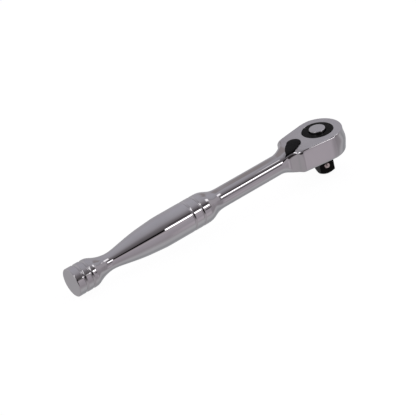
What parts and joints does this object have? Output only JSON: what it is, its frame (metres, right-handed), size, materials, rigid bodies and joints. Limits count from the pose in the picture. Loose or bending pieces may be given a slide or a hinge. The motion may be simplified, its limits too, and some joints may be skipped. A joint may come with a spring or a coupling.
{
  "type": "ratchet wrench",
  "caption": "Chromed quick-release ratchet wrench: pear-shaped head with square drive, detent ball, reversing lever and release button on a ringed round grip.",
  "frame": {"origin": "centre of the flat tip of the drive square, on the drive axis", "axes": "+Z along the drive axis from the square's tip to the release button; the handle runs along -X from the head; +Y completes the frame"},
  "size_m": [0.2006, 0.031, 0.0307],
  "materials": {
    "chrome_plate": "full polish chrome plate",
    "black_oxide": "satin black oxide on steel",
    "bright_steel": "bright hardened steel",
    "spring_steel": "oiled spring steel",
    "seal_rubber": "matt nitrile rubber"
  },
  "bodies": {
    "body": {"forged_body": "chrome_plate", "wave_washer": "spring_steel", "cover_washer": "bright_steel", "snap_ring": "black_oxide", "pawl_pin": "bright_steel"},
    "drive": {"drive_gear": "black_oxide", "gear_o_ring": "seal_rubber", "release_spring": "spring_steel"},
    "release_button": {"release_button_cap": "chrome_plate", "release_stem": "bright_steel"},
    "detent": {"detent_ball": "bright_steel"},
    "lever": {"reverse_lever": "black_oxide", "lever_o_ring": "seal_rubber", "lever_retaining_ring": "spring_steel", "plunger_spring": "spring_steel"},
    "plunger": {"lever_plunger": "bright_steel"},
    "pawl": {"pawl": "bright_steel"}
  },
  "joints": [
    {"name": "drive_spin", "type": "hinge", "parent": "body", "child": "drive", "pos_m": [0, 0, 0.0212], "axis": [0, 0, 1], "continuous": true},
    {"name": "button_press", "type": "slide", "parent": "drive", "child": "release_button", "axis": [0, 0, -1], "range_m": [0, 0.0017], "stiffness_N_per_m": 900, "springref_m": -0.002, "deforming": ["release_spring"]},
    {"name": "ball_retract", "type": "slide", "parent": "drive", "child": "detent", "axis": [0.2487, 0.9686, 0], "range_m": [0, 0.0011]},
    {"name": "lever_swing", "type": "hinge", "parent": "body", "child": "lever", "pos_m": [-0.0189, 0, 0.0292], "axis": [0, 0, 1], "range_deg": [-68, 0]},
    {"name": "plunger_slide", "type": "slide", "parent": "lever", "child": "plunger", "axis": [-0.829, -0.5592, 0], "range_m": [0, 0.0006], "stiffness_N_per_m": 400, "springref_m": -0.001, "deforming": ["plunger_spring"]},
    {"name": "pawl_rock", "type": "hinge", "parent": "body", "child": "pawl", "pos_m": [-0.0141, 0, 0.02215], "axis": [0, 0, 1], "range_deg": [0, 15.6]}
  ],
  "couplings": [
    {"joint": "ball_retract", "follows": "button_press", "ratio": 0.64706},
    {"joint": "pawl_rock", "follows": "lever_swing", "ratio": -0.22941}
  ]
}
